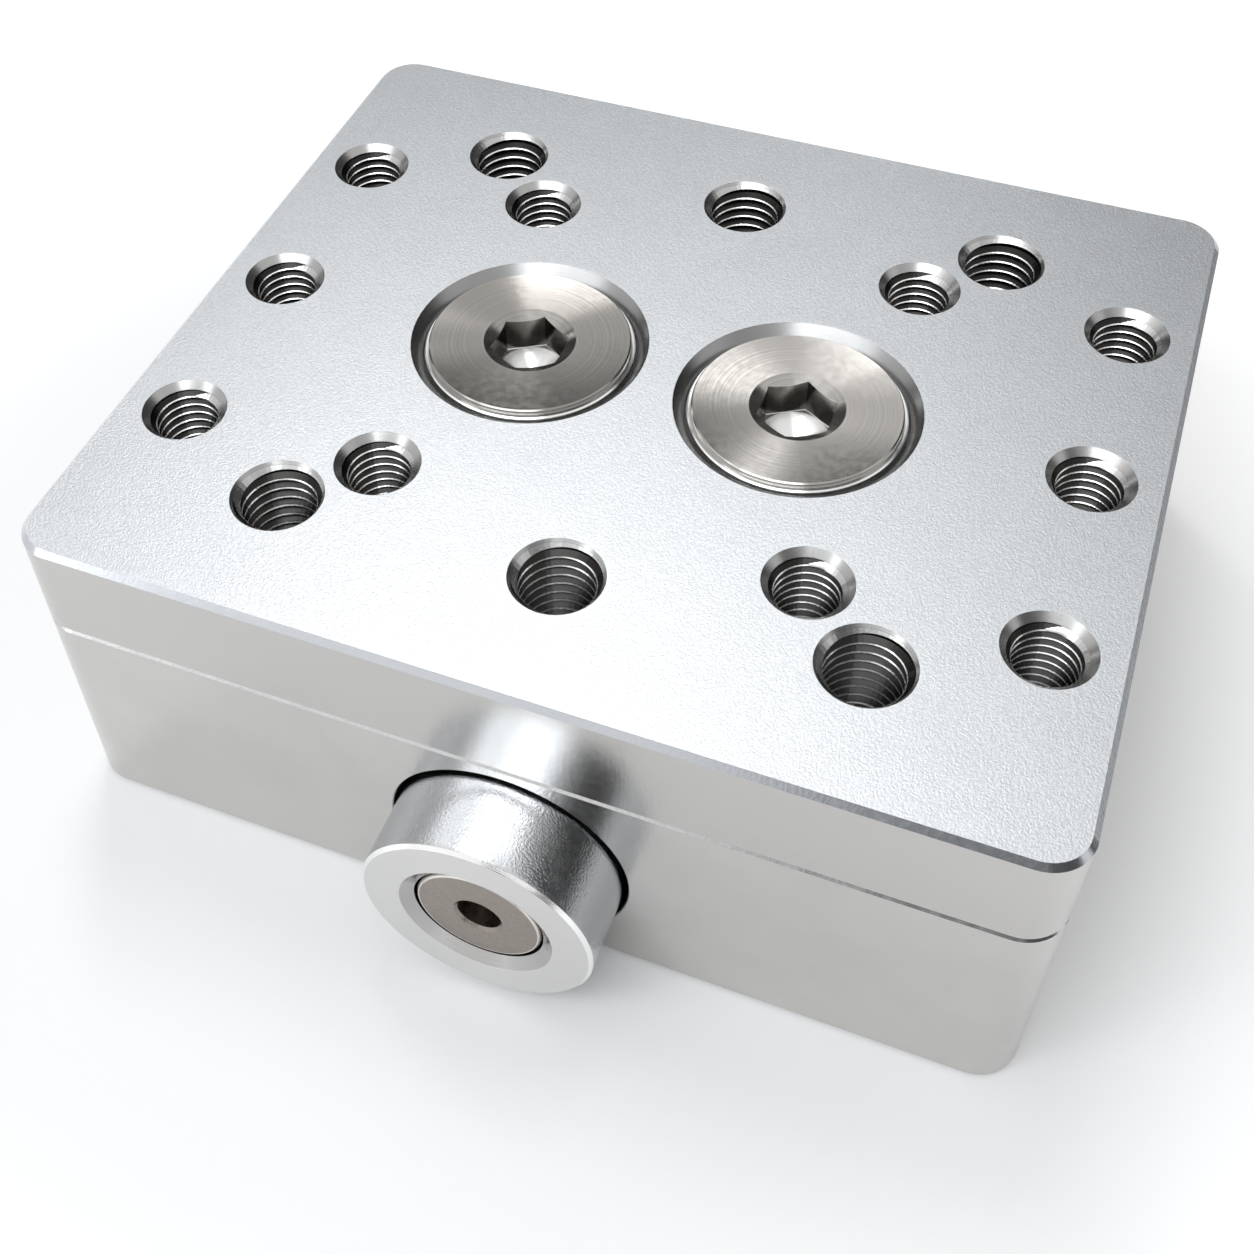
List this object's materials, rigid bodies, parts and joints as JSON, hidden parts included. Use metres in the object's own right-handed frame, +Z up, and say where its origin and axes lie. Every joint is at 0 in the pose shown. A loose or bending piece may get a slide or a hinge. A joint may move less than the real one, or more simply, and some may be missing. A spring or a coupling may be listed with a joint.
{
  "type": "quick change fixture plate",
  "caption": "Rectangular quick change fixture plate: a tapped-grid pallet with pull studs on a base whose front push button slides a lock plate onto the studs.",
  "frame": {"origin": "centre of the base's underside, the face that stands on the machine table", "axes": "+Z up out of the work face, +X along the long side, -Y out of the front face towards the push button"},
  "size_m": [0.14, 0.1315, 0.053],
  "materials": {
    "anodised_pallet": "bead-blasted, clear anodised",
    "anodised_base": "fine milled, clear anodised",
    "cover_aluminium": "milled",
    "satin_aluminium": "satin turned",
    "turned_steel": "face turned, bright",
    "hardened_steel": "hardened and ground",
    "ground_steel": "ground",
    "slide_steel": "hardened, surface ground",
    "rail_steel": "surface ground",
    "nickel_steel": "nickel plated, warm grey",
    "ball_steel": "polished",
    "spring_steel": "drawn wire",
    "black_screws": "black oxide steel",
    "bronze": "turned bronze",
    "seal_rubber": "moulded"
  },
  "bodies": {
    "base": {"base_plate": "anodised_base", "guide_bush_left": "ground_steel", "guide_bush_right": "ground_steel", "rod_bush": "bronze", "bottom_cover": "cover_aluminium", "cover_screws": "black_screws", "guide_rail_left": "rail_steel", "guide_rail_right": "rail_steel", "rail_screws": "black_screws", "detent_ball": "ball_steel", "detent_spring": "spring_steel", "detent_screw": "black_screws"},
    "pallet": {"top_plate": "anodised_pallet", "pull_stud_left": "hardened_steel", "pull_stud_right": "hardened_steel", "stud_screw_left": "turned_steel", "stud_screw_right": "turned_steel"},
    "button": {"push_button": "satin_aluminium", "push_rod": "ground_steel", "button_screw": "nickel_steel", "button_ring": "seal_rubber", "lock_slide": "slide_steel"}
  },
  "joints": [
    {"name": "button_press", "type": "slide", "parent": "base", "child": "button", "axis": [0, 1, 0], "range_m": [0, 0.005], "deforming": ["detent_ball", "detent_spring"]},
    {"name": "pallet_lift", "type": "slide", "parent": "base", "child": "pallet", "axis": [0, 0, 1], "range_m": [0, 0.034]}
  ]
}
